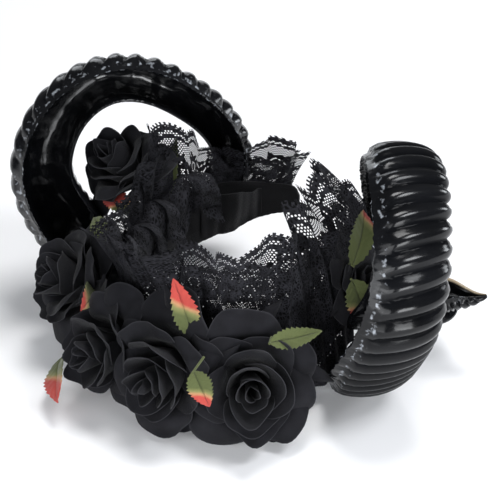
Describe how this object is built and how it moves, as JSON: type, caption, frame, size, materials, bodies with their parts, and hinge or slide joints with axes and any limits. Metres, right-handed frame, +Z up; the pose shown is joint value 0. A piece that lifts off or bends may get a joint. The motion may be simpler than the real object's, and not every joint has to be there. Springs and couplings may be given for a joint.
{
  "type": "horn headband",
  "caption": "Costume headband lying on its side: curled ribbed hollow ram horns, black fabric roses with serrated leaves, and a gathered lace ruffle on a cloth-covered open hoop.",
  "frame": {"origin": "centre of the floor area under the whole headband, at its lowest point", "axes": "+Z up from the floor it lies on, +X from the horn at one ear to the horn at the other, +Y from the crown of the hoop to its free ends"},
  "size_m": [0.3252, 0.2494, 0.173],
  "materials": {
    "black_plastic": "glossy, ribbed",
    "band_cloth": "matte woven cloth",
    "rose_cloth": "matte stiffened cloth",
    "lace_thread": "gathered floral lace",
    "leaf_cloth": "printed cloth, green turning red"
  },
  "bodies": {
    "root": {"headband": "band_cloth", "band_fold": "band_cloth", "horn_right": "black_plastic", "horn_left": "black_plastic", "rose_a": "rose_cloth", "rose_b": "rose_cloth", "rose_c": "rose_cloth", "rose_d": "rose_cloth", "rose_e": "rose_cloth", "rose_f": "rose_cloth", "lace_left": "lace_thread", "lace_front": "lace_thread", "lace_right": "lace_thread", "leaf_1": "leaf_cloth", "leaf_2": "leaf_cloth", "leaf_3": "leaf_cloth", "leaf_4": "leaf_cloth", "leaf_5": "leaf_cloth", "leaf_6": "leaf_cloth", "leaf_7": "leaf_cloth", "leaf_8": "leaf_cloth", "leaf_9": "leaf_cloth", "leaf_10": "leaf_cloth"}
  },
  "joints": []
}
